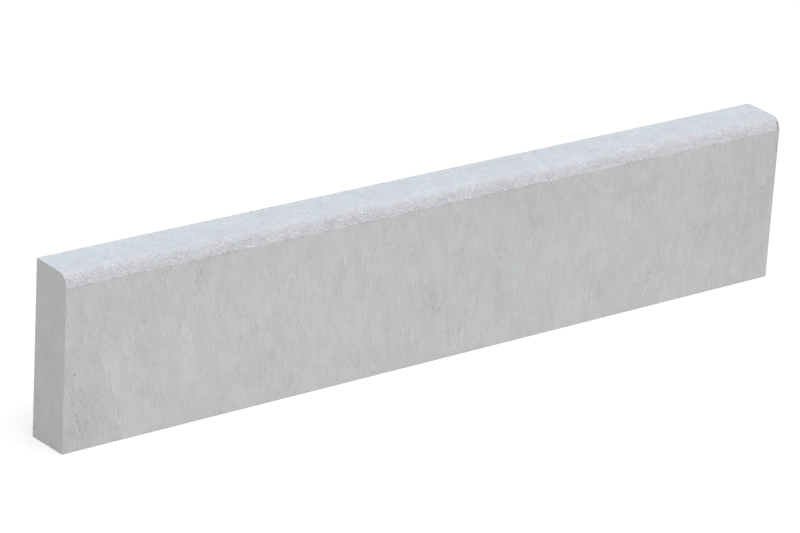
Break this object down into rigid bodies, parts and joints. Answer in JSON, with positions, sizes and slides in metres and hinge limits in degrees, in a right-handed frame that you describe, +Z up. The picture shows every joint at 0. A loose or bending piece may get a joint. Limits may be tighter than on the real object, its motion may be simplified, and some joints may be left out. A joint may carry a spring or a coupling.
{
  "type": "concrete kerb stone",
  "caption": "Straight precast concrete kerb stone: a tall, narrow bar with a flat base, a gently falling top and one rounded front arris, laid end to end to edge a path or lawn.",
  "frame": {"origin": "middle of the base, on the ground plane", "axes": "+X along the kerb line, -Y out of the exposed front face under the rounded arris, +Z up"},
  "size_m": [1, 0.055, 0.2],
  "materials": {
    "concrete": "matt grey vibro-pressed concrete, drawn sides, open-grained top"
  },
  "bodies": {
    "root": {"kerb_stone": "concrete"}
  },
  "joints": []
}
